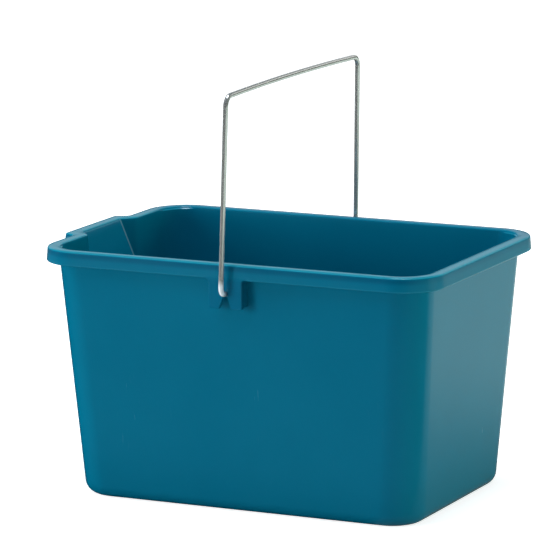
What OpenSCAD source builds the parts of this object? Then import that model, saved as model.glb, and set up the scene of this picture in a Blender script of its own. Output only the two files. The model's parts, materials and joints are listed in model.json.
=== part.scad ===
// Rectangular feed bucket: one plastic moulding with a pouring spout in one end wall,
// and a steel wire bail that swings in an ear on each long side.
// The origin is the middle of the underside. X runs along the bucket, with the spout at -X.

/* [Tub] */
// Height of the rim above the ground
rim_h = 200; // [170:1:240]
// Length of the base, end wall to end wall
base_l = 290; // [250:1:340]
// Width of the base, side wall to side wall
base_w = 188; // [165:1:230]
// Outward lean of the walls, in degrees
wall_lean = 4.15; // [2.5:0.05:6]
// Radius of the upright corners
corner_r = 28; // [22:0.5:40]
// Thickness of the walls
wall_t = 2.6; // [2:0.1:3.4]
// Thickness of the floor
floor_t = 3; // [2:0.1:5]
// Radius of the edge between the walls and the underside
base_r = 11; // [7:0.5:14]

/* [Rim] */
// How far the rim stands out from the wall
rim_out = 7.8; // [6:0.1:11]
// Thickness of the flat top of the rim
rim_t = 2.6; // [2:0.1:3.4]
// Height of the skirt that hangs from the rim
skirt_h = 11.8; // [8:0.1:14]
// Thickness of the skirt
skirt_t = 2.4; // [1.8:0.1:3]
// How far the skirt flares out from top to bottom
skirt_flare = 0.7; // [0:0.1:1.5]
// Radius of the outer edge of the rim
rim_r = 2; // [1:0.1:2.4]

/* [Spout] */
// Width of the spout where it leaves the end wall
spout_w = 84; // [64:1:100]
// How far the spout steps out at the rim
spout_out = 10.5; // [9:0.1:14]
// Depth below the rim at which the spout dies out in the wall
spout_drop = 47; // [35:1:70]
// Turn of the spout's two sides out of the end wall, in degrees
spout_turn = 45; // [35:1:60]
// Turn of the rim's outer edge round the spout's two sides, in degrees
rim_turn = 60; // [50:1:70]

/* [Ears] */
// Width of each ear
ear_w = 28.5; // [22:0.5:40]
// How far an ear hangs below the skirt
ear_drop = 23; // [19:0.5:32]
// Depth of the bail holes below the rim
hole_drop = 23; // [22:0.5:28]
// How far the front of an ear stands proud of the skirt
ear_proud = 0.2; // [0.1:0.1:1]
// Thickness of the front of an ear
ear_t = 2.6; // [2:0.1:3.4]
// Thickness of the two sides of an ear
ear_side_t = 2.2; // [1.6:0.1:3]
// Radius between the ear and the bottom of the skirt
ear_fillet = 4; // [2:0.5:6]
// Radius of the lower corners of an ear
ear_corner = 1.5; // [1:0.1:2]
// Width of the notch at the foot of an ear
notch_w = 10.4; // [8:0.1:14]
// Width of the notch where it opens into the hole
throat_w = 3.4; // [2.8:0.1:3.7]

/* [Bail] */
// Diameter of the wire
wire_d = 4; // [3.8:0.1:5]
// Radial play of the wire in its holes
hole_play = 0.08; // [0.03:0.01:0.1]
// Height of the middle of the grip above the holes
bail_h = 154.5; // [140:0.5:170]
// Inward lean of the legs, in degrees
leg_lean = 1.4; // [0.5:0.1:1.6]
// Slope of the bowed grip at each end, in degrees
grip_bow = 1.6; // [0.5:0.1:4]
// Bend radius at the foot of each leg
foot_bend = 6.5; // [5:0.5:8]
// Bend radius at the ends of the grip
grip_bend = 8; // [5:0.5:14]
// Gap between the ear and the bend beside it
bend_gap = 0.4; // [0.3:0.1:1]
// Length of wire that reaches in behind the front of the ear
hook_l = 5; // [3:0.5:6]
// Lean of the standing bail away from the spout, in degrees
bail_lean = 1.5; // [-10:0.5:10]

/* [Hidden] */
$fn = 96;

// A thousandth of a millimetre is the finest step that the rim's path is set out in
function set_out(x) = round(1000 * x) / 1000;

// Outer half sizes at the ground, and the same for the inside of the walls
lean_rise = tan(wall_lean);
wall_reach = wall_t / cos(wall_lean);
half_l = base_l / 2;
half_w = base_w / 2;
in_half_l = half_l - wall_reach;
in_half_w = half_w - wall_reach;
in_corner_r = corner_r - wall_t;
in_base_r = base_r - wall_t;

// The upright corner edge between two leaning walls
edge_tilt = atan(sqrt(2) * lean_rise);
edge_half = acos(pow(sin(wall_lean), 2)) / 2;

// Inner line of the wall at the top, which the rim and the spout follow
top_half_l = set_out(in_half_l + lean_rise * rim_h);
top_half_w = set_out(in_half_w + lean_rise * rim_h);
run_l = top_half_l - in_corner_r;
run_w = top_half_w - in_corner_r;

// The rim, measured out from that inner line
rim_reach = wall_t + rim_out;
skirt_reach = rim_reach + skirt_flare;
lip_r = skirt_t / 2;
flare_rise = skirt_flare / (skirt_h - lip_r - rim_r);

// Ears and bail holes
ear_face = top_half_w + skirt_reach + ear_proud;
skirt_z = rim_h - skirt_h;
ear_z = skirt_z - ear_drop;
hole_z = rim_h - hole_drop;
wire_r = wire_d / 2;
hole_r = wire_r + hole_play;

// Allowance that lets one cut run clear past another
past = 1;
// How far a joint in the wire stands proud of it
knuckle = 0.02;
// Depth by which a round runs on past the flat that it meets
blend = 0.02;
// Angle of the bottom round at which it hands over to the leaning wall
edge_end = 78;

module mirrored(axis) {
    children();
    mirror(axis) children();
}

// Tub

module leaning_block(l, w, z0, z1) {
    intersection() {
        rotate([90, 0, 0])
            linear_extrude(4 * w, center = true) leaning_outline(l, z0, z1);
        rotate([90, 0, 90])
            linear_extrude(4 * l, center = true) leaning_outline(w, z0, z1);
    }
}

module leaning_outline(half, z0, z1) {
    low = half + lean_rise * z0;
    high = half + lean_rise * z1;
    polygon([[-low, z0], [low, z0], [high, z1], [-high, z1]]);
}

// Takes the sharp upright edge off one corner, at a constant radius
module corner_cut(l, w, r, top) {
    centre = [-(r - blend) / cos(edge_half), 0];
    side = (r + past) * [cos(edge_half), sin(edge_half)];
    translate([l, w, 0])
        rotate([0, edge_tilt, 45])
            translate([0, 0, -4 * past])
                linear_extrude(top / cos(edge_tilt) + r)
                    difference() {
                        polygon([
                            centre,
                            centre + [side[0], -side[1]],
                            [past / cos(edge_half), 0],
                            centre + side
                        ]);
                        translate(centre) circle(r);
                    }
}

// Section of what is taken off along the bottom edge, measured out from the wall
module edge_section(r) {
    centre = [-r * (1 - sin(wall_lean)) / cos(wall_lean), r - blend];
    last = centre + (r - blend) * [sin(edge_end), -cos(edge_end)];
    rise = r / tan(edge_end);
    far = rise + r / 2;
    difference() {
        polygon([
            [centre[0], -past],
            centre,
            last,
            last + [rise, r],
            [far, last[1] + r],
            [far, -past]
        ]);
        translate(centre) circle(r);
    }
}

module bottom_edge_cut(l, w, corner, r) {
    mirrored([0, 1, 0])
        translate([l - corner, -w, 0])
            rotate([90, 0, -90])
                linear_extrude(2 * (l - corner)) edge_section(r);
    mirrored([1, 0, 0])
        translate([l, w - corner, 0])
            rotate([90, 0, 0])
                linear_extrude(2 * (w - corner)) edge_section(r);
    mirrored([1, 0, 0])
        mirrored([0, 1, 0])
            translate([l - corner, w - corner, 0])
                rotate_extrude(angle = 90)
                    translate([corner, 0]) edge_section(r);
}

module tub_form(l, w, corner, r, z0, z1) {
    difference() {
        leaning_block(l, w, z0, z1);
        mirrored([1, 0, 0])
            mirrored([0, 1, 0])
                corner_cut(l, w, corner, z1);
        translate([0, 0, z0])
            bottom_edge_cut(l + lean_rise * z0, w + lean_rise * z0, corner, r);
    }
}

// Rim

module rim_section() {
    lip_z = lip_r - skirt_h;
    polygon([
        [wall_t / 2, 0],
        [rim_reach - rim_r, 0],
        [rim_reach, -rim_r],
        [skirt_reach, lip_z],
        [skirt_reach - skirt_t, lip_z],
        [rim_reach - skirt_t, -rim_t],
        [wall_t / 2, -rim_t]
    ]);
    translate([rim_reach - rim_r, -rim_r]) circle(rim_r);
    translate([skirt_reach - lip_r, lip_z]) circle(lip_r);
}

module rim_run(l) {
    rotate([90, 0, 0])
        linear_extrude(l, center = true) rim_section();
}

module rim_loop() {
    mirrored([1, 0, 0])
        translate([top_half_l, 0, 0]) rim_run(2 * run_w);
    mirrored([0, 1, 0])
        translate([0, top_half_w, 0]) rotate([0, 0, 90]) rim_run(2 * run_l);
    mirrored([1, 0, 0])
        mirrored([0, 1, 0])
            translate([run_l, run_w, 0])
                rotate_extrude(angle = 90)
                    translate([in_corner_r, 0]) rim_section();
}

// Section of the rim's outer edge, filled in behind, from the top down to a depth
module rim_edge(inner, depth) {
    polygon([
        [inner, 0],
        [rim_reach - rim_r, 0],
        [rim_reach, -rim_r],
        [rim_reach + flare_rise * (depth - rim_r), -depth],
        [inner, -depth]
    ]);
    translate([rim_reach - rim_r, -rim_r]) circle(rim_r);
}

// Section of the space behind the skirt, from a height down to a depth
module skirt_space(inner, top, depth) {
    out = rim_reach - skirt_t;
    polygon([
        [inner, top],
        [out - flare_rise * (rim_r + top), top],
        [out + flare_rise * (depth - rim_r), -depth],
        [inner, -depth]
    ]);
}

// A section run along the front of the spout, kept to what lies inside its two sides
module along_spout() {
    intersection() {
        translate([-top_half_l - spout_out, 0, 0])
            rotate([90, 0, 180])
                linear_extrude(4 * spout_w, center = true) children(0);
        along_spout_side() children(1);
        mirror([0, 1, 0]) along_spout_side() children(1);
    }
}

module along_spout_side() {
    translate([-top_half_l, spout_w / 2, 0])
        rotate([90, 0, 180 - rim_turn])
            linear_extrude(4 * spout_w, center = true) children();
}

module rim() {
    far = -2 * spout_w;
    low = skirt_h + past;
    translate([0, 0, rim_h])
        difference() {
            union() {
                rim_loop();
                along_spout() {
                    rim_edge(-spout_out, skirt_h);
                    rim_edge(far, low);
                }
            }
            along_spout() {
                skirt_space(wall_t / 2 - spout_out, -rim_t, low);
                skirt_space(far, past, low + past);
            }
        }
}

// Spout

// Plan of the spout, grown by a skin: none for its inside, the wall for its outside
module spout_plan(skin, inner) {
    lip = -spout_out - skin;
    side = [for (x = [inner, lip]) [x, spout_w / 2 + (skin + x * cos(spout_turn)) / sin(spout_turn)]];
    polygon([side[0], side[1], [lip, -side[1][1]], [inner, -side[0][1]]]);
}

// Side view of the spout's sloping front, with the bucket's side of it solid
module spout_slope(skin, over) {
    fall = spout_out / spout_drop + lean_rise;
    top_x = -top_half_l - spout_out - skin * sqrt(1 + fall * fall);
    low = 2 * spout_drop;
    polygon([
        [top_x - fall * over, rim_h + over],
        [top_x + fall * low, rim_h - low],
        [top_x + fall * low, rim_h + over]
    ]);
}

module spout_form(skin, inner, over) {
    intersection() {
        translate([-top_half_l, 0, rim_h])
            rotate([0, -wall_lean, 0])
                linear_extrude(4 * spout_drop, center = true) spout_plan(skin, inner);
        rotate([90, 0, 0])
            linear_extrude(2 * base_w, center = true) spout_slope(skin, over);
    }
}

// Ears

module ear_outline() {
    half = ear_w / 2;
    top = skirt_z + skirt_t;
    difference() {
        union() {
            polygon([
                [-half - ear_fillet, top],
                [-half - ear_fillet, skirt_z - ear_fillet],
                [-half, skirt_z - ear_fillet],
                [-half, ear_z + ear_corner],
                [-half + ear_corner, ear_z],
                [half - ear_corner, ear_z],
                [half, ear_z + ear_corner],
                [half, skirt_z - ear_fillet],
                [half + ear_fillet, skirt_z - ear_fillet],
                [half + ear_fillet, top]
            ]);
            mirrored([1, 0])
                translate([half - ear_corner, ear_z + ear_corner]) circle(ear_corner);
        }
        mirrored([1, 0])
            translate([half + ear_fillet, skirt_z - ear_fillet]) circle(ear_fillet);
        translate([0, hole_z]) circle(hole_r);
        polygon([
            [-throat_w / 2, hole_z],
            [throat_w / 2, hole_z],
            [throat_w / 2, hole_z - hole_r],
            [notch_w / 2, ear_z],
            [notch_w / 2, ear_z - past],
            [-notch_w / 2, ear_z - past],
            [-notch_w / 2, ear_z],
            [-throat_w / 2, hole_z - hole_r]
        ]);
    }
}

module ear() {
    wall_y = half_w + lean_rise * ear_z - wall_t / 2;
    translate([0, -ear_face, 0])
        rotate([90, 0, 0])
            translate([0, 0, -ear_t])
                linear_extrude(ear_t) ear_outline();
    mirrored([1, 0, 0])
        translate([ear_w / 2 - ear_side_t, -ear_face + ear_t / 2, ear_z + ear_corner])
            cube([ear_side_t, ear_face - ear_t / 2 - wall_y, rim_h - rim_t / 2 - ear_z - ear_corner]);
}

module bucket_body() {
    color([0, 0.41, 0.52])
        difference() {
            union() {
                tub_form(half_l, half_w, corner_r, base_r, 0, rim_h);
                spout_form(wall_t, -wall_t / 2, 0);
                rim();
                mirrored([0, 1, 0]) ear();
            }
            tub_form(in_half_l, in_half_w, in_corner_r, in_base_r, floor_t, rim_h + past);
            spout_form(0, wall_t, past);
        }
}

// Bail, drawn in its own plane: y across the bucket, z up from the holes

foot_y = ear_face + bend_gap;
leg_foot = [foot_y + foot_bend * cos(leg_lean), foot_bend * (1 + sin(leg_lean))];
bow_share = tan(grip_bow / 2);
leg_l = (bail_h - leg_foot[1] + grip_bend * (sin(leg_lean) - cos(grip_bow))
    - bow_share * (leg_foot[0] - grip_bend * (cos(leg_lean) - sin(grip_bow))))
    / (cos(leg_lean) - bow_share * sin(leg_lean));
leg_head = leg_foot + leg_l * [-sin(leg_lean), cos(leg_lean)];
grip_centre = leg_head - grip_bend * [cos(leg_lean), sin(leg_lean)];
grip_end = grip_centre + grip_bend * [sin(grip_bow), cos(grip_bow)];
bow_r = grip_end[0] / sin(grip_bow);

// A stretch of wire bent round a centre, from one angle to another, counted from y
module bent_wire(centre, r, from, to) {
    translate([0, centre[0], centre[1]])
        rotate([90, 0, 90])
            rotate([0, 0, from])
                rotate_extrude(angle = to - from, $fn = 256)
                    translate([r, 0]) circle(wire_r, $fn = 48);
}

// A straight stretch of wire between two points
module straight_wire(from, to) {
    run = to - from;
    translate([0, from[0], from[1]])
        rotate([atan2(-run[0], run[1]), 0, 0])
            translate([0, 0, knuckle])
                cylinder(h = norm(run) - 2 * knuckle, r = wire_r);
}

// Closes the wire where a straight stretch meets a bend
module wire_knuckle(at) {
    translate([0, at[0], at[1]]) sphere(wire_r + knuckle);
}

module wire_half() {
    hook_end = [ear_face - ear_t - hook_l, 0];
    foot_start = [foot_y, 0];
    straight_wire(hook_end, foot_start);
    bent_wire([foot_y, foot_bend], foot_bend, -90, leg_lean);
    straight_wire(leg_foot, leg_head);
    bent_wire(grip_centre, grip_bend, leg_lean, 90 - grip_bow);
    for (at = [foot_start, leg_foot, leg_head, grip_end])
        wire_knuckle(at);
}

module wire_bail() {
    color([0.72, 0.73, 0.74])
        translate([0, 0, hole_z])
            rotate([0, bail_lean, 0]) {
                mirrored([0, 1, 0]) wire_half();
                bent_wire([0, bail_h - bow_r], bow_r, 90 - grip_bow, 90 + grip_bow);
            }
}

bucket_body();
wire_bail();
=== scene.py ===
import json
from math import atan, cos, degrees, pi, radians, sin, tan

import bmesh
import bpy
from mathutils import Matrix, Vector


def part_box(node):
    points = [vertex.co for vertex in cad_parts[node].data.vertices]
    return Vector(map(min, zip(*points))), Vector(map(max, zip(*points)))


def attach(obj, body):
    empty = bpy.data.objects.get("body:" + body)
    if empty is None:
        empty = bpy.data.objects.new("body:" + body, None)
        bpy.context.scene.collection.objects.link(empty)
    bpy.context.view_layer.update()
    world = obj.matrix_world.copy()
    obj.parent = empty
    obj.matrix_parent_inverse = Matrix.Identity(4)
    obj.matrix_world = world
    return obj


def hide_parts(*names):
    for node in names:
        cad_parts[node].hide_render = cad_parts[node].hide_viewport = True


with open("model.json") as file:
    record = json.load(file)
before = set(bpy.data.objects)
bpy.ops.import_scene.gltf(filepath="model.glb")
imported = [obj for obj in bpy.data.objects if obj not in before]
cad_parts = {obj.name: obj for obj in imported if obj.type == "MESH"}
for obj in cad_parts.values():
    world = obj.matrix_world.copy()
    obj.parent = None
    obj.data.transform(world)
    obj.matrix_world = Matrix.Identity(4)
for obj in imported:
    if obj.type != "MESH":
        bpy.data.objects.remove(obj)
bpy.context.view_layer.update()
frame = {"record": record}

# Rectangular feed bucket: one teal plastic moulding with a pouring spout, and a steel wire bail.
# X runs along the bucket with the spout at -X, Z is up, and lengths are in metres.

tub_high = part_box("bucket_body")[1]
hole = Vector(frame["record"]["behaviour"]["joints"][0]["pos_m"])
MM = 0.001
TINY = 1e-6

# Rim, measured out from the inner line of the wall at the top
WALL_T = 2.6 * MM
RIM_OUT = 7.8 * MM
RIM_T = 2.6 * MM
SKIRT_H = 11.8 * MM
SKIRT_T = 2.4 * MM
SKIRT_FLARE = 0.7 * MM
RIM_ROUND = 1.6 * MM
RIM_CROWN = 0.4 * MM
MOUTH_ROUND = 1.3 * MM
MOUTH_END = 175
UNDER_RIM_ROUND = 1.2 * MM
RIM_REACH = WALL_T + RIM_OUT
SKIRT_REACH = RIM_REACH + SKIRT_FLARE
LIP_ROUND = SKIRT_T / 2
CROWN_W = RIM_REACH - RIM_ROUND - MOUTH_ROUND
CROWN_TILT = atan(4 * RIM_CROWN / CROWN_W)

# Tub
RIM_H = tub_high.z
EAR_FACE = tub_high.y
EAR_STEP = 0.2 * MM
TOP_HALF_L = tub_high.x - SKIRT_REACH
TOP_HALF_W = EAR_FACE - EAR_STEP - SKIRT_REACH
WALL_LEAN = radians(4.15)
LEAN_RISE = tan(WALL_LEAN)
CORNER_R = 28 * MM
IN_CORNER_R = CORNER_R - WALL_T
RIM_CORNER_R = IN_CORNER_R - 2 * MM
FLOOR_T = 3 * MM
BASE_ROUND = 11 * MM
FLOOR_ROUND = BASE_ROUND - WALL_T
LIP_Z = RIM_H - SKIRT_H + LIP_ROUND
SKIRT_Z = RIM_H - SKIRT_H
RIM_EDGE_Z = RIM_H - RIM_CROWN - RIM_ROUND * cos(CROWN_TILT)
FLARE_RISE = SKIRT_FLARE / (RIM_EDGE_Z - LIP_Z)

# Spout
SPOUT_W = 84 * MM
SPOUT_OUT = 10.5 * MM
SPOUT_DROP = 47 * MM
SPOUT_TURN = radians(45)
RIM_TURN = radians(60)
MOUTH_BEND = 3.2 * MM
LIP_BEND = 1.8 * MM
BEND_SHARE = 0.4
SPOUT_TIP = 0.4 * MM
SPOUT_END_Z = RIM_H - SPOUT_DROP

# Points along each stretch of a ring round the tub
CORNER_STEPS = 18
SIDE_STEPS = 14
END_STEPS = 6
ROUND_STEPS = 4
RETURN_STEPS = 4
FRONT_STEPS = 6

# Rings up the walls and over the rim
EDGE_STEPS = 8
LOW_WALL_STEPS = 6
SPOUT_STEPS = 8
UNDER_RIM_STEPS = 4
LIP_STEPS = 12
RIM_STEPS = 7
CROWN_STEPS = 8
RING_GAP = 1 * MM

# Ears
EAR_HALF = 14.25 * MM
EAR_T = 2.6 * MM
EAR_CHEEK_T = 2.2 * MM
EAR_CHEEK_INSET = 0.02 * MM
EAR_CHEEK_ROUND = 0.5 * MM
EAR_Z = SKIRT_Z - 23 * MM
EAR_TOP = LIP_Z + 2 * MM
EAR_FILLET_BACK = 4.5 * MM
EAR_FILLET_FRONT = 1.6 * MM
EAR_LEFT = -EAR_HALF - EAR_FILLET_BACK
EAR_RIGHT = EAR_HALF + EAR_FILLET_FRONT
EAR_CORNER = 1.5 * MM
EAR_PROUD = 0.04 * MM
EAR_SINK = 0.1 * MM
EAR_SINK_RUN = 1 * MM
EAR_BORDER = 4 * MM
BURIED_EDGE = 1.5 * MM
NOTCH_HALF = 5.2 * MM
NOTCH_CORNER = 1 * MM
NOTCH_SOFTENED = ((-0.3, 0.04), (0.05, 0.3))
NOTCH_EDGE = 0.45 * MM
THROAT_HALF = 1.7 * MM
THROAT_AT = 34.8
HOLE_R = 2.08 * MM
EAR_CORNER_STEPS = 6
EAR_FILLET_STEPS = 8
EAR_TOP_STEPS = 10
EAR_EDGE_STEPS = 5
HOLE_STEPS = 28
FRONT_MARK = 1
PLASTIC_CREASE = radians(32)

# Bail
WIRE_R = 2 * MM
BAIL_H = 154.5 * MM
BAIL_LEAN = radians(1.5)
LEG_LEAN = radians(1.4)
GRIP_BOW = radians(1.6)
FOOT_BEND = 6.5 * MM
GRIP_BEND = 8 * MM
BEND_GAP = 0.4 * MM
HOOK_L = 5 * MM
WIRE_END_ROUND = 0.6 * MM
WIRE_SIDES = 32
HOOK_STEPS = 5
BEND_STEPS = 14
LEG_STEPS = 16
GRIP_STEPS = 16
TIP_STEPS = 3
WIRE_CREASE = radians(40)


def along(start, end, steps):
    """Evenly spaced points from start towards end, with end left out."""
    return [start.lerp(end, k / steps) for k in range(steps)]


def arc(centre, radius, first, last, steps):
    """Points on an arc from one angle to another, in degrees, with both ends."""
    points = []
    for k in range(steps + 1):
        angle = radians(first + (last - first) * k / steps)
        points.append(centre + radius * Vector((cos(angle), sin(angle))))
    return points


def soft_corner(before, corner, after, reach):
    """Points that round a corner off, from reach before it to reach after it."""
    start = corner + reach * (before - corner).normalized()
    end = corner + reach * (after - corner).normalized()
    points = []
    for k in range(ROUND_STEPS + 1):
        share = k / ROUND_STEPS
        points.append(start.lerp(corner, share).lerp(corner.lerp(end, share), share))
    return points


def new_object(name, data):
    item = bpy.data.objects.new(name, data)
    bpy.context.scene.collection.objects.link(item)
    return item


def mesh_piece(name, verts, faces):
    mesh = bpy.data.meshes.new(name)
    mesh.from_pydata(verts, [], faces)
    mesh.validate()
    return new_object(name, mesh)


def open_mesh(mesh):
    bm = bmesh.new()
    bm.from_mesh(mesh)
    return bm


def close_mesh(bm, mesh):
    """Turns every face outward and writes the result to a mesh."""
    bmesh.ops.recalc_face_normals(bm, faces=bm.faces)
    bm.to_mesh(mesh)
    bm.free()


def ring_faces(rows, count):
    """Quads between closed rings that follow each other in one list of points."""
    faces = []
    for row in range(rows - 1):
        for k in range(count):
            after = (k + 1) % count
            low = row * count
            high = low + count
            faces.append((low + k, low + after, high + after, high + k))
    return faces


def cap_faces(rows, count):
    """The two faces that close the first and the last of such rings."""
    last = (rows - 1) * count
    return [tuple(range(count))[::-1], tuple(range(last, last + count))]


# Tub

def tub_ring(grow, corner, skin, depth, spread, turn, z):
    """One level ring, counter-clockwise from the middle of the plain end.

    It lies grow outside the inner line of the rim. The spout stands out by depth, narrows by spread
    and turns off the wall by turn, and skin is the thickness that keeps its folds even.
    """
    half_l = TOP_HALF_L + grow
    half_w = TOP_HALF_W + grow
    run_l = half_l - corner
    run_w = half_w - corner
    mouth = SPOUT_W / 2 + skin * tan(turn / 2)
    mouth_at = Vector((-half_l, mouth))
    lip_at = Vector((-half_l - depth, mouth - spread / tan(turn)))
    middle = Vector((-half_l - depth, 0))
    wall_end = Vector((-half_l, run_w))
    longest = BEND_SHARE * (lip_at - mouth_at).length
    mouth_bend = soft_corner(wall_end, mouth_at, lip_at, min(MOUTH_BEND, longest))
    lip_bend = soft_corner(mouth_at, lip_at, middle, min(LIP_BEND, longest))
    side = along(Vector((half_l, 0)), Vector((half_l, run_w)), END_STEPS)
    side += arc(Vector((run_l, run_w)), corner, 0, 90, CORNER_STEPS)
    side += along(Vector((run_l, half_w)), Vector((-run_l, half_w)), SIDE_STEPS)[1:]
    side += arc(Vector((-run_l, run_w)), corner, 90, 180, CORNER_STEPS)
    side += along(wall_end, mouth_bend[0], END_STEPS)[1:]
    side += mouth_bend
    side += along(mouth_bend[-1], lip_bend[0], RETURN_STEPS)[1:]
    side += lip_bend
    side += along(lip_bend[-1], middle, FRONT_STEPS)[1:]
    side.append(middle)
    ring = [(p.x, p.y, z) for p in side]
    ring += [(p.x, -p.y, z) for p in side[-2:0:-1]]
    return ring


def spout_depth(z):
    return max(0, SPOUT_OUT * (1 - (RIM_H - z) / SPOUT_DROP))


def wall_ring(z, skin, inset=0):
    """A ring on the leaning walls: no skin for their inside, the wall for their outside."""
    grow = LEAN_RISE * (z - RIM_H) + skin / cos(WALL_LEAN) - inset
    depth = spout_depth(z)
    fan = max(0, 1 - z / SPOUT_END_Z)
    spread = max(depth, SPOUT_TIP + fan * (SPOUT_OUT - SPOUT_TIP))
    return tub_ring(grow, IN_CORNER_R + skin - inset, skin, depth, spread, SPOUT_TURN, z)


def rim_ring(out, z, turn, corner=RIM_CORNER_R, depth=SPOUT_OUT):
    return tub_ring(out, corner + out, out, depth, depth, turn, z)


def bottom_rings(ground, skin, radius):
    """The round between the underside, or the floor, and the leaning walls."""
    tangent = radius * (1 - sin(WALL_LEAN)) / cos(WALL_LEAN)
    rings = []
    for k in range(EDGE_STEPS + 1):
        angle = (pi / 2 - WALL_LEAN) * k / EDGE_STEPS
        rise = radius * (1 - cos(angle))
        inset = LEAN_RISE * rise + tangent - radius * sin(angle)
        rings.append(wall_ring(ground + rise, skin, inset))
    return rings


def wall_levels(low, high):
    """Heights of the rings between the bottom round and the rim."""
    levels = [low + (SPOUT_END_Z - low) * k / LOW_WALL_STEPS for k in range(1, LOW_WALL_STEPS + 1)]
    levels += [SPOUT_END_Z + (high - SPOUT_END_Z) * k / SPOUT_STEPS for k in range(1, SPOUT_STEPS + 1)]
    return levels


def rim_rings():
    """Rings round the rim, from under it over the skirt and its top to the mouth."""
    under_z = RIM_H - RIM_T
    wall_out = WALL_T / cos(WALL_LEAN) - LEAN_RISE * RIM_T
    skirt_in = RIM_REACH - SKIRT_T
    r = UNDER_RIM_ROUND
    rings = []
    for k, p in enumerate(arc(Vector((wall_out + r, under_z - r)), r, 180, 90, UNDER_RIM_STEPS)):
        depth = SPOUT_OUT + (spout_depth(p.y) - SPOUT_OUT) * (1 - k / UNDER_RIM_STEPS)
        rings.append(rim_ring(p.x, p.y, SPOUT_TURN, IN_CORNER_R, depth))
    skirt = arc(Vector((skirt_in - r, under_z - r)), r, 90, 0, UNDER_RIM_STEPS)
    skirt += arc(Vector((SKIRT_REACH - LIP_ROUND, LIP_Z)), LIP_ROUND, 180, 360, LIP_STEPS)
    tilt = degrees(CROWN_TILT)
    skirt += arc(Vector((RIM_REACH - RIM_ROUND, RIM_EDGE_Z)), RIM_ROUND, 0, 90 - tilt, RIM_STEPS)
    rings += [rim_ring(p.x, p.y, RIM_TURN) for p in skirt]
    mouth_z = RIM_H - RIM_CROWN - MOUTH_ROUND * cos(CROWN_TILT)
    mouth = arc(Vector((MOUTH_ROUND, mouth_z)), MOUTH_ROUND, 90 + tilt, MOUTH_END, RIM_STEPS)
    for k in range(1, CROWN_STEPS):
        share = k / CROWN_STEPS
        out = skirt[-1].x + (mouth[0].x - skirt[-1].x) * share
        turn = RIM_TURN + (SPOUT_TURN - RIM_TURN) * share
        rings.append(rim_ring(out, RIM_H - RIM_CROWN * (2 * share - 1) ** 2, turn))
    return rings + [rim_ring(p.x, p.y, SPOUT_TURN) for p in mouth]


def tub_shell():
    """The tub in one skin: up its outside, over the rim and down its inside."""
    under_rim = RIM_H - RIM_T - UNDER_RIM_ROUND - RING_GAP
    in_mouth = RIM_H - MOUTH_ROUND - RING_GAP
    outside = bottom_rings(0, WALL_T, BASE_ROUND)
    outside += [wall_ring(z, WALL_T) for z in wall_levels(BASE_ROUND, under_rim)]
    inside = bottom_rings(FLOOR_T, 0, FLOOR_ROUND)
    inside += [wall_ring(z, 0) for z in wall_levels(FLOOR_T + FLOOR_ROUND, in_mouth)]
    rings = outside + rim_rings() + inside[::-1]
    rows = len(rings)
    count = len(rings[0])
    faces = ring_faces(rows, count) + cap_faces(rows, count)
    return mesh_piece("tub_moulding", [p for ring in rings for p in ring], faces)


# Ears

def edge_arc(centre, radius, first, last, steps, edge):
    """An arc of the ear's outline; each point holds x, z, and the width and depth of its front edge."""
    return [Vector((p.x, p.y, *edge)) for p in arc(Vector(centre), radius, first, last, steps)]


def ear_outline():
    """The ear from the front, with its foot notch and bail hole, counter-clockwise."""
    outer = (LIP_ROUND, LIP_ROUND)
    notch = (NOTCH_EDGE, NOTCH_EDGE)
    buried = (BURIED_EDGE, EAR_SINK)
    corner_x = EAR_HALF - EAR_CORNER
    corner_z = EAR_Z + EAR_CORNER
    throat_z = hole.z - HOLE_R
    notch_side = Vector((NOTCH_HALF - THROAT_HALF, EAR_Z - throat_z)).normalized()
    shoulder = Vector((NOTCH_HALF, EAR_Z)) - NOTCH_CORNER * notch_side
    half_notch = [Vector((-NOTCH_HALF - NOTCH_CORNER, EAR_Z, *notch))]
    for x, z in NOTCH_SOFTENED:
        half_notch.append(Vector((-NOTCH_HALF + x * NOTCH_CORNER, EAR_Z + z * NOTCH_CORNER, *notch)))
    half_notch.append(Vector((-shoulder.x, shoulder.y, *notch)))
    half_notch.append(Vector((-THROAT_HALF, throat_z, *notch)))
    path = edge_arc((-corner_x, corner_z), EAR_CORNER, 180, 270, EAR_CORNER_STEPS, outer)
    path += half_notch
    path += edge_arc((0, hole.z), HOLE_R, 180 + THROAT_AT, -THROAT_AT, HOLE_STEPS, notch)
    path += [Vector((-p.x, p.y, p.z, p.w)) for p in half_notch[::-1]]
    path += edge_arc((corner_x, corner_z), EAR_CORNER, 270, 360, EAR_CORNER_STEPS, outer)
    front_z = SKIRT_Z - EAR_FILLET_FRONT
    path += edge_arc((EAR_RIGHT, front_z), EAR_FILLET_FRONT, 180, 90, EAR_CORNER_STEPS, outer)
    path.append(Vector((EAR_RIGHT + EAR_BORDER, SKIRT_Z, *outer)))
    path.append(Vector((EAR_RIGHT + EAR_BORDER, EAR_TOP, *buried)))
    top_right = Vector((EAR_RIGHT, EAR_TOP, *buried))
    top_left = Vector((EAR_LEFT, EAR_TOP, *buried))
    path += along(top_right, top_left, EAR_TOP_STEPS)
    path.append(Vector((EAR_LEFT - EAR_BORDER, EAR_TOP, *buried)))
    path.append(Vector((EAR_LEFT - EAR_BORDER, SKIRT_Z, *outer)))
    back_z = SKIRT_Z - EAR_FILLET_BACK
    path += edge_arc((EAR_LEFT, back_z), EAR_FILLET_BACK, 90, 0, EAR_FILLET_STEPS, outer)
    return path


def ear_front(x, z):
    """How far out the front of the ear lies: it carries on the skirt's face and sinks in at its sides."""
    flare = FLARE_RISE * max(0, z - LIP_Z)
    past = max(0, x - EAR_RIGHT, EAR_LEFT - x) / EAR_SINK_RUN
    return TOP_HALF_W + SKIRT_REACH - flare + EAR_PROUD - EAR_SINK * min(1, past)


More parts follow.
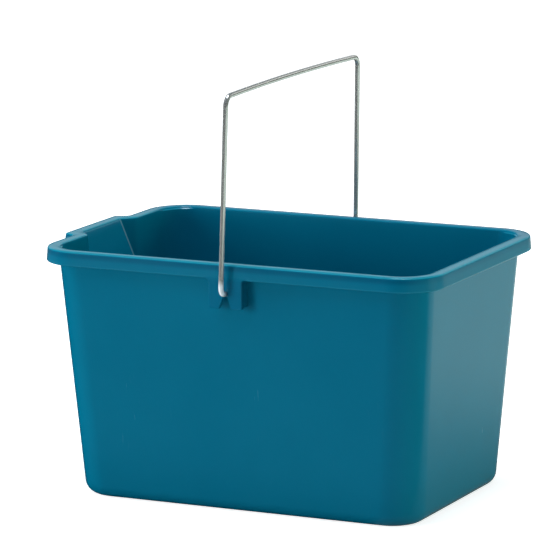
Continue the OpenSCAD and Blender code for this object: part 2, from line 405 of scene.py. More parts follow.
def ear_plate():
    """The front of the near ear, cut along the lines where the skirt's face bends."""
    outline = ear_outline()
    count = len(outline)
    rows = EAR_EDGE_STEPS + 2
    inward = []
    for k in range(count):
        run = (outline[(k + 1) % count] - outline[k - 1]).xy
        inward.append(Vector((-run.y, run.x)).normalized())
    verts = [(p.x, EAR_T - ear_front(p.x, p.y), p.y) for p in outline]
    for step in range(EAR_EDGE_STEPS + 1):
        angle = pi / 2 * step / EAR_EDGE_STEPS
        for p, n in zip(outline, inward):
            x, z = p.xy + n * p.z * (1 - cos(angle))
            verts.append((x, p.w * (1 - sin(angle)) - ear_front(x, z), z))
    faces = [face[::-1] for face in ring_faces(rows, count)] + cap_faces(rows, count)
    piece = mesh_piece("ear_plate", verts, faces)
    bm = open_mesh(piece.data)
    bm.faces.ensure_lookup_table()
    bm.faces[-1].material_index = FRONT_MARK
    cuts = [((0, 0, LIP_Z), (0, 0, 1))]
    for x in (EAR_RIGHT, EAR_RIGHT + EAR_SINK_RUN, EAR_LEFT, EAR_LEFT - EAR_SINK_RUN):
        cuts.append(((x, 0, 0), (1, 0, 0)))
    for at, facing in cuts:
        everything = bm.verts[:] + bm.edges[:] + bm.faces[:]
        bmesh.ops.bisect_plane(bm, geom=everything, plane_co=at, plane_no=facing)
    for face in bm.faces:
        if face.material_index == FRONT_MARK:
            for v in face.verts:
                v.co.y = -ear_front(v.co.x, v.co.z)
            face.material_index = 0
    close_mesh(bm, piece.data)
    return piece


def ear_cheek(side):
    """The side of an ear, which runs back from its front to the wall."""
    low = EAR_Z + EAR_CORNER
    high = RIM_H - RIM_T / 2
    plate_in = EAR_T / 2 - ear_front(0, low)
    wall_out = TOP_HALF_W + WALL_T / 2
    profile = [
        (plate_in, low),
        (-wall_out - LEAN_RISE * (low - RIM_H), low),
        (-wall_out - LEAN_RISE * (high - RIM_H), high),
        (plate_in + SKIRT_FLARE, high),
    ]
    outer_x = side * (EAR_HALF - EAR_CHEEK_INSET)
    inner_x = side * (EAR_HALF - EAR_CHEEK_T)
    bm = bmesh.new()
    inner, outer = [[bm.verts.new((x, y, z)) for y, z in profile] for x in (inner_x, outer_x)]
    bm.faces.new(inner)
    bm.faces.new(outer[::-1])
    count = len(profile)
    for k in range(count):
        after = (k + 1) % count
        bm.faces.new((inner[k], outer[k], outer[after], inner[after]))
    foot_edges = [e for e in bm.edges if all(v.co.z < low + TINY for v in e.verts)]
    foot_edges = [e for e in foot_edges if abs(e.verts[0].co.x - e.verts[1].co.x) < TINY]
    bmesh.ops.bevel(
        bm, geom=foot_edges, offset=EAR_CHEEK_ROUND, segments=3, affect="EDGES", profile=0.5
    )
    mesh = bpy.data.meshes.new("ear_cheek")
    close_mesh(bm, mesh)
    return new_object("ear_cheek", mesh)


def add_far_side(piece):
    """Adds a mirrored copy of a piece on the other long side of the bucket."""
    bm = open_mesh(piece.data)
    bmesh.ops.mirror(bm, geom=bm.verts[:] + bm.edges[:] + bm.faces[:], axis="Y", merge_dist=0)
    close_mesh(bm, piece.data)


def bucket_moulding():
    """The tub with both ears grown into one moulding."""
    tub = tub_shell()
    for piece in (ear_plate(), ear_cheek(-1), ear_cheek(1)):
        add_far_side(piece)
        union = tub.modifiers.new(piece.name, "BOOLEAN")
        union.operation = "UNION"
        union.solver = "EXACT"
        union.object = piece
    bpy.context.view_layer.update()
    evaluated = tub.evaluated_get(bpy.context.evaluated_depsgraph_get())
    whole = bpy.data.meshes.new_from_object(evaluated)
    tools = [modifier.object for modifier in tub.modifiers]
    tub.modifiers.clear()
    tub.data = whole
    for tool in tools:
        bpy.data.objects.remove(tool)
    whole.shade_smooth()
    whole.set_sharp_from_angle(angle=PLASTIC_CREASE)
    flats = tub.modifiers.new("even_flats", "WEIGHTED_NORMAL")
    flats.keep_sharp = True
    return tub


# Bail

def bail_path():
    """Middle line of one half of the wire, from its hook to the middle of the grip, in its own plane."""
    foot_y = EAR_FACE + BEND_GAP
    foot_centre = Vector((foot_y, FOOT_BEND))
    leg_foot = foot_centre + FOOT_BEND * Vector((cos(LEG_LEAN), sin(LEG_LEAN)))
    bow_share = tan(GRIP_BOW / 2)
    rise = BAIL_H - leg_foot.y + GRIP_BEND * (sin(LEG_LEAN) - cos(GRIP_BOW))
    reach = leg_foot.x - GRIP_BEND * (cos(LEG_LEAN) - sin(GRIP_BOW))
    leg_l = (rise - bow_share * reach) / (cos(LEG_LEAN) - bow_share * sin(LEG_LEAN))
    leg_head = leg_foot + leg_l * Vector((-sin(LEG_LEAN), cos(LEG_LEAN)))
    grip_centre = leg_head - GRIP_BEND * Vector((cos(LEG_LEAN), sin(LEG_LEAN)))
    bow_start = grip_centre.x + GRIP_BEND * sin(GRIP_BOW)
    bow_r = bow_start / sin(GRIP_BOW)
    lean = degrees(LEG_LEAN)
    bow = degrees(GRIP_BOW)
    path = along(Vector((EAR_FACE - EAR_T - HOOK_L, 0)), Vector((foot_y, 0)), HOOK_STEPS)
    path += arc(foot_centre, FOOT_BEND, -90, lean, BEND_STEPS)
    path += along(leg_foot, leg_head, LEG_STEPS)[1:]
    path += arc(grip_centre, GRIP_BEND, lean, 90 - bow, BEND_STEPS)
    path += arc(Vector((0, BAIL_H - bow_r)), bow_r, 90 - bow, 90, GRIP_STEPS)[1:]
    return path


def wire_stations():
    """Stops along the whole wire: place, direction, radius and length so far, with its ends rounded."""
    half = bail_path()
    path = half + [Vector((-p.x, p.y)) for p in half[-2::-1]]
    length = 0
    stations = []
    for k, p in enumerate(path):
        before = path[max(k - 1, 0)]
        after = path[min(k + 1, len(path) - 1)]
        run = (after - before).normalized()
        length += (p - before).length
        stations.append((p, run, WIRE_R, length))
    first_p, first_run = stations[0][:2]
    last_p, last_run = stations[-1][:2]
    tip = []
    for turn in range(TIP_STEPS):
        angle = pi / 2 * turn / TIP_STEPS
        back = WIRE_END_ROUND * (1 - sin(angle))
        radius = WIRE_R - WIRE_END_ROUND * (1 - cos(pi / 2 - angle))
        tip.append((back, radius))
    start = [(first_p + first_run * (WIRE_END_ROUND - b), first_run, r, 0) for b, r in tip]
    end = [(last_p - last_run * (WIRE_END_ROUND - b), last_run, r, length) for b, r in tip]
    return start + stations[1:-1] + end[::-1]


def bail_wire():
    """The bent wire; drawn_place keeps where each point was while the wire was straight."""
    stand = Matrix.Translation(hole) @ Matrix.Rotation(BAIL_LEAN, 4, "Y")
    stations = wire_stations()
    verts = []
    place = []
    for p, run, radius, station in stations:
        across = Vector((-run.y, run.x))
        for k in range(WIRE_SIDES):
            angle = 2 * pi * k / WIRE_SIDES
            out = p + across * radius * cos(angle)
            verts.append(stand @ Vector((radius * sin(angle), out.x, out.y)))
            place.append((radius * cos(angle), radius * sin(angle), station))
    rows = len(stations)
    faces = ring_faces(rows, WIRE_SIDES) + cap_faces(rows, WIRE_SIDES)
    wire = mesh_piece("bail_wire", verts, faces)
    close_mesh(open_mesh(wire.data), wire.data)
    drawn = wire.data.attributes.new("drawn_place", "FLOAT_VECTOR", "POINT")
    drawn.data.foreach_set("vector", [n for p in place for n in p])
    wire.data.shade_smooth()
    wire.data.set_sharp_from_angle(angle=WIRE_CREASE)
    return wire


# Finishes

# Colours of the plastic
TEAL_DEEP = (0.0, 0.125, 0.214, 1)
TEAL_PALE = (0.0, 0.152, 0.25, 1)
TEAL_SPECK = (0.0, 0.12, 0.21, 1)
SCUFFED = (0.06, 0.22, 0.29, 1)
RUBBED_EDGE = (0.02, 0.2, 0.28, 1)
# Painted highlight: a pale line along the spout's inner folds
PAINTED_FOLD_GLINT = (0.12, 0.28, 0.36, 1)
# Painted sheen: a pale tint on the rim's up-facing top, weaker along the back rim
PAINTED_RIM_SHEEN = (0.015, 0.27, 0.345, 1)
# Painted highlight: a light line along the skirt's lower lip
PAINTED_LIP_HIGHLIGHT = (0.012, 0.19, 0.28, 1)
# Painted shade: a darker band just below the rim's outer edge
PAINTED_UNDER_RIM_SHADE = (0.0, 0.082, 0.16, 1)
# A darker tone on the ears' fronts, below the skirt
EAR_DARKER_TONE = (0.0, 0.1, 0.19, 1)
PLASTIC_IOR = 1.32

# Colours of the wire
STEEL_DARK = (0.67, 0.655, 0.63, 1)
STEEL_PALE = (0.83, 0.815, 0.79, 1)
STEEL_SPECK = (0.42, 0.39, 0.36, 1)
DRAWN_LINE = (0.8, 0.8, 0.8, 1)
RUBBED_STEEL = (0.75, 0.74, 0.72, 1)
# Painted highlight: the wire's feet near-white and barely metallic
PAINTED_FOOT_HIGHLIGHT = (0.93, 0.97, 1, 1)

# Where the masks change; each pair is where a change starts and where it ends
# Width and foot of the painted highlight along the spout's folds
FOLD_W = 1.1 * MM
FOLD_LINE = (0.3 * FOLD_W, FOLD_W)
FOLD_FOOT = (SPOUT_END_Z, SPOUT_END_Z + SPOUT_DROP / 4)
# Where the painted sheen lies on the rim's top, and how weak it is along the back
TOP_FACING = (0.4, 0.75)
TOP_BAND = (RIM_H - 3 * MM, RIM_H - 2 * MM)
BACK_RIM = (TOP_HALF_W / 2, TOP_HALF_W)
BACK_RIM_SHEEN = 0.45
OUTWARD = (0.03, 0.06)
# Band of painted shade below the rim's edge, weaker on the end faces
SHADE_BAND_H = 4.8 * MM
SHADE_BAND_LOW = (RIM_EDGE_Z - SHADE_BAND_H, RIM_EDGE_Z - SHADE_BAND_H / 4)
SHADE_BAND_HIGH = (RIM_EDGE_Z, RIM_EDGE_Z + RIM_ROUND / 2)
END_FACING = (0.4, 0.9)
END_SHADE_LEVEL = 0.4
# Where the painted highlight lies on the skirt's lip, clear of the ears
BESIDE_EAR = (EAR_HALF + 2 * MM, EAR_HALF + 5 * MM)
LIP_LOW = (SKIRT_Z - MM, SKIRT_Z)
LIP_HIGH = (SKIRT_Z + 0.8 * MM, SKIRT_Z + 2 * MM)
# Where the darker tone lies on the ears' fronts
EAR_DEPTH = (EAR_FACE - 2 * MM, EAR_FACE - MM)
EAR_HEAD = (SKIRT_Z - 2 * MM, SKIRT_Z + 2 * MM)
# Where the painted highlight lies on the wire's feet
FOOT_HIGHLIGHT_TOP = (hole.z + 3 * WIRE_R, hole.z + 7 * WIRE_R)
FOOT_HIGHLIGHT_OUT = (EAR_FACE + 1.5 * MM, EAR_FACE + FOOT_BEND)

SCRATCH_SOFTNESS = 0.08
LEVEL_ONLY = (1, 1, 0)
WHITE = (1, 1, 1, 1)

# Sockets of a Mix node, which share their names between values and colours
VALUE_A = 2
VALUE_B = 3
VALUE_MIXED = 0
COLOUR_A = 6
COLOUR_B = 7
COLOUR_MIXED = 2


def add_node(tree, kind, **settings):
    node = tree.nodes.new(kind)
    for name, value in settings.items():
        setattr(node, name, value)
    return node


def set_inputs(node, **values):
    for name, value in values.items():
        node.inputs[name.replace("_", " ")].default_value = value
    return node


def ramp(tree, value, low, high, at_low, at_high):
    """A smooth change from one level to another as a value goes from low to high."""
    change = add_node(tree, "ShaderNodeMapRange", interpolation_type="SMOOTHSTEP")
    set_inputs(change, From_Min=low, From_Max=high, To_Min=at_low, To_Max=at_high)
    tree.links.new(value, change.inputs["Value"])
    return change.outputs["Result"]


def fade_in(tree, value, low, high):
    return ramp(tree, value, low, high, 0.0, 1.0)


def fade_out(tree, value, low, high):
    return ramp(tree, value, low, high, 1.0, 0.0)


def product(tree, first, second):
    node = add_node(tree, "ShaderNodeMath", operation="MULTIPLY")
    tree.links.new(first, node.inputs[0])
    tree.links.new(second, node.inputs[1])
    return node.outputs["Value"]


def blend(tree, share, first, second):
    """A value that goes from the first to the second with a share."""
    node = add_node(tree, "ShaderNodeMix")
    tree.links.new(share, node.inputs["Factor"])
    tree.links.new(first, node.inputs[VALUE_A])
    tree.links.new(second, node.inputs[VALUE_B])
    return node.outputs[VALUE_MIXED]


def size_of(tree, value):
    """A value without its sign."""
    node = add_node(tree, "ShaderNodeMath", operation="ABSOLUTE")
    tree.links.new(value, node.inputs[0])
    return node.outputs["Value"]


def parts_of(tree, vector):
    split = add_node(tree, "ShaderNodeSeparateXYZ")
    tree.links.new(vector, split.inputs["Vector"])
    return split.outputs


def levelled(tree, vector):
    """A vector without its height."""
    node = add_node(tree, "ShaderNodeVectorMath", operation="MULTIPLY")
    node.inputs[1].default_value = LEVEL_ONLY
    tree.links.new(vector, node.inputs[0])
    return node.outputs["Vector"]


def new_group(name, inputs, outputs):
    """An empty shader node group, with its input and output nodes."""
    group = bpy.data.node_groups.new(name, "ShaderNodeTree")
    for label, kind, value in inputs:
        socket = group.interface.new_socket(name=label, in_out="INPUT", socket_type=kind)
        if value is not None:
            socket.default_value = value
    for label, kind in outputs:
        group.interface.new_socket(name=label, in_out="OUTPUT", socket_type=kind)
    return group, group.nodes.new("NodeGroupInput"), group.nodes.new("NodeGroupOutput")


def mottle_group():
    """Slow clouds of tone and fine specks."""
    group, start, end = new_group(
        "tone_mottle",
        [
            ("Place", "NodeSocketVector", None),
            ("Cloud Scale", "NodeSocketFloat", 14.0),
            ("Speck Scale", "NodeSocketFloat", 900.0),
        ],
        [("Cloud", "NodeSocketFloat"), ("Speck", "NodeSocketFloat")],
    )
    cloud = add_node(group, "ShaderNodeTexNoise")
    set_inputs(cloud, Detail=5.0, Roughness=0.55)
    speck = add_node(group, "ShaderNodeTexNoise")
    set_inputs(speck, Detail=2.0, Roughness=0.5)
    for noise, scale in ((cloud, "Cloud Scale"), (speck, "Speck Scale")):
        group.links.new(start.outputs["Place"], noise.inputs["Vector"])
        group.links.new(start.outputs[scale], noise.inputs["Scale"])
    group.links.new(cloud.outputs["Fac"], end.inputs["Cloud"])
    group.links.new(speck.outputs["Fac"], end.inputs["Speck"])
    return group


def scratch_group():
    """Thin scratches, drawn out along one direction and gathered in patches."""
    group, start, end = new_group(
        "rubbed_scratches",
        [
            ("Place", "NodeSocketVector", None),
            ("Stretch", "NodeSocketVector", (1.0, 1.0, 0.06)),
            ("Scale", "NodeSocketFloat", 700.0),
            ("Patch Scale", "NodeSocketFloat", 16.0),
            ("Sparse", "NodeSocketFloat", 0.66),
        ],
        [("Mask", "NodeSocketFloat")],
    )
    drawn = add_node(group, "ShaderNodeVectorMath", operation="MULTIPLY")
    lines = add_node(group, "ShaderNodeTexNoise")
    set_inputs(lines, Detail=3.0, Roughness=0.6, Distortion=0.2)
    patch = add_node(group, "ShaderNodeTexNoise")
    set_inputs(patch, Detail=3.0, Roughness=0.6)
    thin = add_node(group, "ShaderNodeMapRange", interpolation_type="SMOOTHSTEP")
    upper = add_node(group, "ShaderNodeMath", operation="ADD")
    upper.inputs[1].default_value = SCRATCH_SOFTNESS
    worn = add_node(group, "ShaderNodeMapRange", interpolation_type="SMOOTHSTEP")
    set_inputs(worn, From_Min=0.48, From_Max=0.72)
    links = group.links
    links.new(start.outputs["Place"], drawn.inputs[0])
    links.new(start.outputs["Stretch"], drawn.inputs[1])
    links.new(drawn.outputs["Vector"], lines.inputs["Vector"])
    links.new(start.outputs["Scale"], lines.inputs["Scale"])
    links.new(start.outputs["Place"], patch.inputs["Vector"])
    links.new(start.outputs["Patch Scale"], patch.inputs["Scale"])
    links.new(start.outputs["Sparse"], upper.inputs[0])
    links.new(lines.outputs["Fac"], thin.inputs["Value"])
    links.new(start.outputs["Sparse"], thin.inputs["From Min"])
    links.new(upper.outputs["Value"], thin.inputs["From Max"])
    links.new(patch.outputs["Fac"], worn.inputs["Value"])
    mask = product(group, thin.outputs["Result"], worn.outputs["Result"])
    links.new(mask, end.inputs["Mask"])
    return group


def edge_group():
    """Where edges and bends are rubbed, in broken patches."""
    group, start, end = new_group(
        "edge_rub",
        [("Width", "NodeSocketFloat", 0.0015), ("Place", "NodeSocketVector", None)],
        [("Mask", "NodeSocketFloat")],
    )
    bevel = add_node(group, "ShaderNodeBevel", samples=6)
    surface = add_node(group, "ShaderNodeNewGeometry")
    same = add_node(group, "ShaderNodeVectorMath", operation="DOT_PRODUCT")
    edge = add_node(group, "ShaderNodeMapRange", interpolation_type="SMOOTHSTEP")
    set_inputs(edge, From_Min=0.995, From_Max=0.93)
    broken = add_node(group, "ShaderNodeTexNoise")
    set_inputs(broken, Scale=240.0, Detail=4.0, Roughness=0.65)
    patch = add_node(group, "ShaderNodeMapRange")
    set_inputs(patch, From_Min=0.35, From_Max=0.65)
    links = group.links
    links.new(start.outputs["Width"], bevel.inputs["Radius"])
    links.new(bevel.outputs["Normal"], same.inputs[0])
    links.new(surface.outputs["Normal"], same.inputs[1])
    links.new(same.outputs["Value"], edge.inputs["Value"])
    links.new(start.outputs["Place"], broken.inputs["Vector"])
    links.new(broken.outputs["Fac"], patch.inputs["Value"])
    mask = product(group, edge.outputs["Result"], patch.outputs["Result"])
    links.new(mask, end.inputs["Mask"])
    return group


def place_group(tree, group, place, **values):
    node = add_node(tree, "ShaderNodeGroup", node_tree=group)
    tree.links.new(place, node.inputs["Place"])
    return set_inputs(node, **values).outputs


def tint(tree, mask, base, colour, strength):
    """Lays a colour over a base by a mask; base is a colour or another tint's output."""
    share = add_node(tree, "ShaderNodeMath", operation="MULTIPLY")
    share.inputs[1].default_value = strength
    tree.links.new(mask, share.inputs[0])
    mix = add_node(tree, "ShaderNodeMix", data_type="RGBA")
    tree.links.new(share.outputs["Value"], mix.inputs["Factor"])
    if isinstance(base, tuple):
        mix.inputs[COLOUR_A].default_value = base
    else:
        tree.links.new(base, mix.inputs[COLOUR_A])
    mix.inputs[COLOUR_B].default_value = colour
    return mix.outputs[COLOUR_MIXED]


def spread_value(tree, mask, low, high, base=None):
    """A value that goes from low to high with a mask, added to another where there is one."""
    value = add_node(tree, "ShaderNodeMapRange")
    set_inputs(value, To_Min=low, To_Max=high)
    tree.links.new(mask, value.inputs["Value"])
    if base is None:
        return value.outputs["Result"]
    total = add_node(tree, "ShaderNodeMath", operation="ADD")
    tree.links.new(base, total.inputs[0])
    tree.links.new(value.outputs["Result"], total.inputs[1])
    return total.outputs["Value"]


def bump(tree, height, distance, strength, normal=None):
    node = add_node(tree, "ShaderNodeBump")
    set_inputs(node, Distance=distance, Strength=strength)
    tree.links.new(height, node.inputs["Height"])
    if normal is not None:
        tree.links.new(normal, node.inputs["Normal"])
    return node.outputs["Normal"]


def new_material(name):
    material = bpy.data.materials.new(name)
    material.use_nodes = True
    return material, material.node_tree


def fold_glint_mask(tree, place):
    """One along the inner folds between the spout's front and its two sides, where a painted highlight is
    laid.
    """
    top = Vector((-TOP_HALF_L - SPOUT_OUT, SPOUT_W / 2 - SPOUT_OUT / tan(SPOUT_TURN), RIM_H))
    foot = Vector((-TOP_HALF_L + LEAN_RISE * SPOUT_DROP, SPOUT_W / 2 - SPOUT_TIP, SPOUT_END_Z))
    at = parts_of(tree, place)
    folded = add_node(tree, "ShaderNodeCombineXYZ")
    offset = add_node(tree, "ShaderNodeVectorMath", operation="SUBTRACT")
    offset.inputs[1].default_value = top
    away = add_node(tree, "ShaderNodeVectorMath", operation="CROSS_PRODUCT")
    away.inputs[1].default_value = (foot - top).normalized()
    distance = add_node(tree, "ShaderNodeVectorMath", operation="LENGTH")
    tree.links.new(at["X"], folded.inputs["X"])
    tree.links.new(size_of(tree, at["Y"]), folded.inputs["Y"])
    tree.links.new(at["Z"], folded.inputs["Z"])
    tree.links.new(folded.outputs["Vector"], offset.inputs[0])
    tree.links.new(offset.outputs["Vector"], away.inputs[0])
    tree.links.new(away.outputs["Vector"], distance.inputs[0])
    line = fade_out(tree, distance.outputs["Value"], *FOLD_LINE)
    return product(tree, line, fade_in(tree, at["Z"], *FOLD_FOOT))


def rim_masks(tree, place):
    """Masks for the painted sheen on the rim's top, the painted highlight on the skirt's lip, the painted
    shade below the rim's edge and the darker tone on the ears.
    """
    normal = add_node(tree, "ShaderNodeNewGeometry").outputs["Normal"]
    facing = parts_of(tree, normal)
    at = parts_of(tree, place)
    height = at["Z"]
    outward = add_node(tree, "ShaderNodeVectorMath", operation="DOT_PRODUCT")
    tree.links.new(levelled(tree, normal), outward.inputs[0])
    tree.links.new(place, outward.inputs[1])
    outside = fade_in(tree, outward.outputs["Value"], *OUTWARD)

    # painted sheen on the rim's up-facing top
    top = fade_in(tree, facing["Z"], *TOP_FACING)
    top = product(tree, top, ramp(tree, at["Y"], *BACK_RIM, 1.0, BACK_RIM_SHEEN))
    top = product(tree, top, fade_in(tree, height, *TOP_BAND))

    # painted highlight along the skirt's lip
    lip = fade_out(tree, height, *LIP_HIGH)
    lip = product(tree, lip, fade_in(tree, height, *LIP_LOW))
    lip = product(tree, lip, fade_in(tree, size_of(tree, at["X"]), *BESIDE_EAR))

    # painted shade in a band below the rim's outer edge, weaker on the ends
    shade_band = fade_in(tree, height, *SHADE_BAND_LOW)
    shade_band = product(tree, shade_band, fade_out(tree, height, *SHADE_BAND_HIGH))
    shade_band = product(tree, shade_band, ramp(tree, facing["X"], *END_FACING, 1.0, END_SHADE_LEVEL))

    # darker tone on the ears' fronts, below the skirt
    ear = fade_in(tree, size_of(tree, at["Y"]), *EAR_DEPTH)
    ear = product(tree, ear, fade_out(tree, height, *EAR_HEAD))
    return top, product(tree, lip, outside), product(tree, shade_band, outside), product(tree, ear, outside)


def teal_plastic(mottle, scratches, edge):
    """Moulded plastic: cloudy teal, scuffs and rubbed edges; painted highlights on the rim, lip and spout
    folds, painted shade under the rim, darker ears.
    """
    material, tree = new_material("teal_moulded_plastic")
    shader = tree.nodes["Principled BSDF"].inputs
    place = add_node(tree, "ShaderNodeTexCoord").outputs["Object"]
    tone = place_group(tree, mottle, place, Cloud_Scale=11.0, Speck_Scale=1100.0)
    scuff = place_group(
        tree, scratches, place, Stretch=(1, 1, 0.09), Scale=520.0, Patch_Scale=15.0, Sparse=0.63
    )
    rub = place_group(tree, edge, place, Width=0.0013)
    rim_sheen, lip_highlight, under_rim_shade, ear_darkening = rim_masks(tree, place)

    colour = tint(tree, tone["Cloud"], TEAL_DEEP, TEAL_PALE, strength=1.0)
    colour = tint(tree, tone["Speck"], colour, TEAL_SPECK, strength=0.25)
    colour = tint(tree, scuff["Mask"], colour, SCUFFED, strength=0.09)
    colour = tint(tree, rub["Mask"], colour, RUBBED_EDGE, strength=0.25)
    # painted highlight along the spout's inner folds
    colour = tint(tree, fold_glint_mask(tree, place), colour, PAINTED_FOLD_GLINT, strength=0.7)
    # painted sheen on the rim's top
    colour = tint(tree, rim_sheen, colour, PAINTED_RIM_SHEEN, strength=0.78)
    # painted highlight on the skirt's lip
    colour = tint(tree, lip_highlight, colour, PAINTED_LIP_HIGHLIGHT, strength=0.5)
    # painted shade below the rim's edge
    colour = tint(tree, under_rim_shade, colour, PAINTED_UNDER_RIM_SHADE, strength=0.8)
    # darker tone on the ears' fronts
    colour = tint(tree, ear_darkening, colour, EAR_DARKER_TONE, strength=0.55)
    tree.links.new(colour, shader["Base Color"])

    rough = spread_value(tree, tone["Cloud"], low=0.15, high=0.22)
    rough = spread_value(tree, scuff["Mask"], low=0.0, high=0.1, base=rough)
    tree.links.new(rough, shader["Roughness"])

    sink = add_node(tree, "ShaderNodeTexNoise")
    set_inputs(sink, Scale=26.0, Detail=1.0)
    tree.links.new(place, sink.inputs["Vector"])
    normal = bump(tree, sink.outputs["Fac"], distance=0.0012, strength=0.06)
    normal = bump(tree, tone["Speck"], distance=0.00012, strength=0.12, normal=normal)
    normal = bump(tree, scuff["Mask"], distance=0.00004, strength=0.12, normal=normal)
    tree.links.new(normal, shader["Normal"])
    shader["IOR"].default_value = PLASTIC_IOR
    return material


def steel_wire(mottle, scratches, edge):
    """Drawn steel: lines along the wire and specks, with a painted highlight on the feet that fades off
    towards the hooks.
    """
    material, tree = new_material("drawn_steel_wire")
    shader = tree.nodes["Principled BSDF"].inputs
    place = add_node(tree, "ShaderNodeAttribute", attribute_name="drawn_place").outputs["Vector"]
    tone = place_group(tree, mottle, place, Cloud_Scale=70.0, Speck_Scale=1600.0)
    draw = place_group(
        tree, scratches, place, Stretch=(1, 1, 0.03), Scale=1500.0, Patch_Scale=90.0, Sparse=0.5
    )
    rub = place_group(tree, edge, place, Width=0.0006)
    at = parts_of(tree, add_node(tree, "ShaderNodeTexCoord").outputs["Object"])
    # the foot mask is a painted highlight, fading off above the feet and towards the hooks
    foot = fade_out(tree, at["Z"], *FOOT_HIGHLIGHT_TOP)
    foot = product(tree, foot, fade_in(tree, size_of(tree, at["Y"]), *FOOT_HIGHLIGHT_OUT))

    colour = tint(tree, tone["Cloud"], STEEL_DARK, STEEL_PALE, strength=1.0)
    colour = tint(tree, tone["Speck"], colour, STEEL_SPECK, strength=0.25)
    colour = tint(tree, draw["Mask"], colour, DRAWN_LINE, strength=0.4)
    colour = tint(tree, rub["Mask"], colour, RUBBED_STEEL, strength=0.5)
    # painted highlight on the feet
    colour = tint(tree, foot, colour, PAINTED_FOOT_HIGHLIGHT, strength=0.9)
    tree.links.new(colour, shader["Base Color"])
    # the painted highlight also takes the metal out of the feet, so they read white
    tree.links.new(spread_value(tree, foot, low=0.75, high=0.1), shader["Metallic"])

    rough = spread_value(tree, tone["Cloud"], low=0.1, high=0.2)
    rough = spread_value(tree, draw["Mask"], low=0.0, high=0.1, base=rough)
    tree.links.new(rough, shader["Roughness"])

    normal = bump(tree, draw["Mask"], distance=0.00004, strength=0.3)
    normal = bump(tree, tone["Speck"], distance=0.00003, strength=0.2, normal=normal)
    tree.links.new(normal, shader["Normal"])
    return material


# Studio

# Floor: what the eye sees of it, what it sends up as light, and what mirrors in the bucket
FLOOR_HALF = 8.0
FLOOR_Z = -0.1 * MM
FLOOR_GLOW = 0.82
GLOW_SPAN = (0.3, 0.8)
FLOOR_SHADE = (0.8, 0.8, 0.8, 1)
FLOOR_BOUNCE = (0.82, 0.8, 0.76, 1)
FLOOR_MIRRORED = (0.84, 1, 0.95, 1)
SHEEN_FROM = (0.12, -0.12, 0)
SHEEN_RIGHT = (radians(50), radians(62))
SHEEN_LEFT = (radians(-25), radians(-5))
NEAR_SPAN = (0.08, 0.55)
NEAR_LEVELS = (0.12, 0.9)
FAR_START = (0.9, 1.4)
FAR_AXIS = (0.8, 0.6, 0)
FAR_ACROSS = (-0.5, 0.5)
FAR_LEVELS = (0.12, 0.95)
FAR_END = (1.9, 2.8)
FAR_END_LEVEL = 0.25
FAR_SHEEN_LEVEL = 0.6

# World: the dome that lights the bucket, and a pale band low behind it that mirrors in the plastic
DOME_COLOUR = (0.8, 0.92, 1, 1)
DOME_LEVEL = 0.1
BAND_BEHIND = (0.2, 0.8)
BAND_LEVEL = 0.58
BAND_TOP = (0.33, 0.47)
ABOVE_BAND = 0.02
LEFT_FOOT = (0.08, 0.19)
LEFT_LEVELS = (0.05, 1.0)
RIGHT_FOOT = (0.15, 0.25)
RIGHT_LEVELS = (0.0, 1.5)
LEFT_TO_RIGHT = (-0.1, 0.3)

LAMP_TARGET = Vector((0, 0, 0.15))

CAMERA_AZIMUTH = radians(25.42)
CAMERA_RISE = radians(10.885)
CAMERA_ROLL = radians(-0.359)
CAMERA_DISTANCE = 3.4499
CAMERA_TARGET = Vector((-9.02 * MM, 0, 166.75 * MM))
CAMERA_LENS = 281.56
CAMERA_SENSOR = 36.0
CAMERA_CLIP = 100.0


def level_distance(tree, vector):
    """Distance from the middle of the bucket, measured along the floor."""
    length = add_node(tree, "ShaderNodeVectorMath", operation="LENGTH")
    tree.links.new(levelled(tree, vector), length.inputs[0])
    return length.outputs["Value"]


def along_axis(tree, vector, axis):
    node = add_node(tree, "ShaderNodeVectorMath", operation="DOT_PRODUCT")
    node.inputs[1].default_value = axis
    tree.links.new(vector, node.inputs[0])
    return node.outputs["Value"]


def bearing_from(tree, vector, point):
    """Bearing of a place on the floor from a point: 0 straight back, positive to the right."""
    offset = add_node(tree, "ShaderNodeVectorMath", operation="SUBTRACT")
    offset.inputs[1].default_value = point
    tree.links.new(vector, offset.inputs[0])
    split = parts_of(tree, offset.outputs["Vector"])
    angle = add_node(tree, "ShaderNodeMath", operation="ARCTAN2")
    tree.links.new(split["X"], angle.inputs[0])
    tree.links.new(split["Y"], angle.inputs[1])
    return angle.outputs["Value"]


def by_ray(tree, lit, mirrored, seen):
    """Chooses a shader by what a ray does: light the bucket, mirror in it, or reach the eye."""
    path = add_node(tree, "ShaderNodeLightPath")
    carried = add_node(tree, "ShaderNodeMath", operation="MAXIMUM")
    tree.links.new(path.outputs["Is Glossy Ray"], carried.inputs[0])
    tree.links.new(path.outputs["Is Transmission Ray"], carried.inputs[1])
    first = add_node(tree, "ShaderNodeMixShader")
    tree.links.new(carried.outputs["Value"], first.inputs["Fac"])
    tree.links.new(lit.outputs[0], first.inputs[1])
    tree.links.new(mirrored.outputs[0], first.inputs[2])
    second = add_node(tree, "ShaderNodeMixShader")
    tree.links.new(path.outputs["Is Camera Ray"], second.inputs["Fac"])
    tree.links.new(first.outputs["Shader"], second.inputs[1])
    tree.links.new(seen.outputs[0], second.inputs[2])
    return second.outputs["Shader"]


